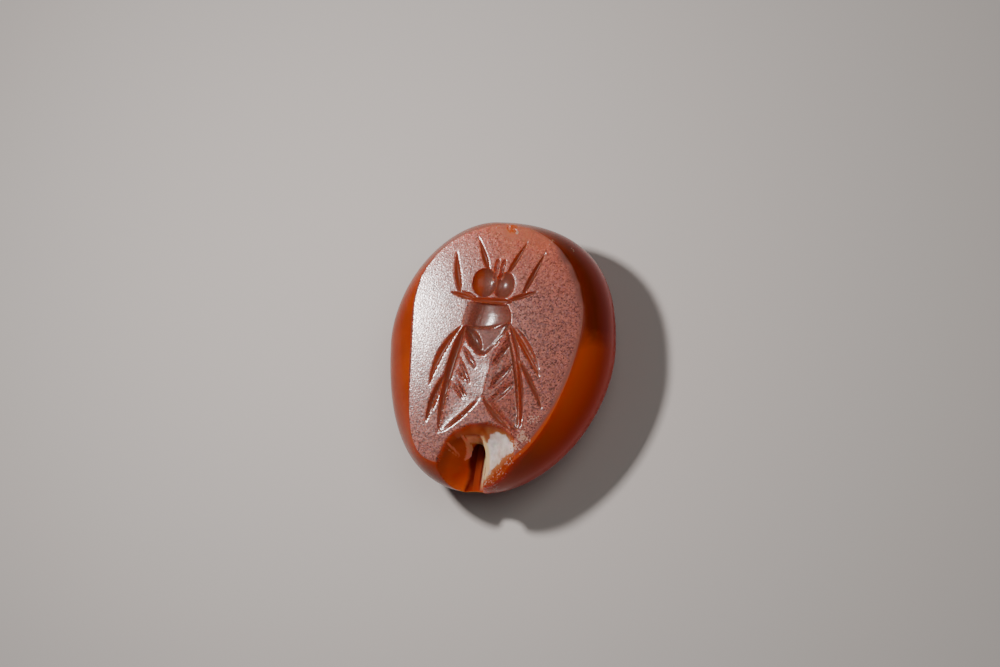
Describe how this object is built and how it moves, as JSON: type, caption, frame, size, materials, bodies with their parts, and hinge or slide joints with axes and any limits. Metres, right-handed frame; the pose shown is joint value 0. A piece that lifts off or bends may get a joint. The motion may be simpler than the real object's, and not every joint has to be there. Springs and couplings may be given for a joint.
{
  "type": "scaraboid seal",
  "caption": "Oval carnelian seal stone with a domed back, a stringing hole along its length, a fly engraved into its flat face, and a chip at one end.",
  "frame": {"origin": "under the middle of the stone, on the surface that its domed back lies on", "axes": "+Z out of the engraved face, +Y towards the head of the engraved fly, +X to the right as the face is looked at"},
  "size_m": [0.0162, 0.0194, 0.009],
  "materials": {
    "carnelian": "polished translucent orange-red chalcedony, with a finely matt lilac-grey sealing face"
  },
  "bodies": {
    "root": {"seal_stone": "carnelian"}
  },
  "joints": []
}
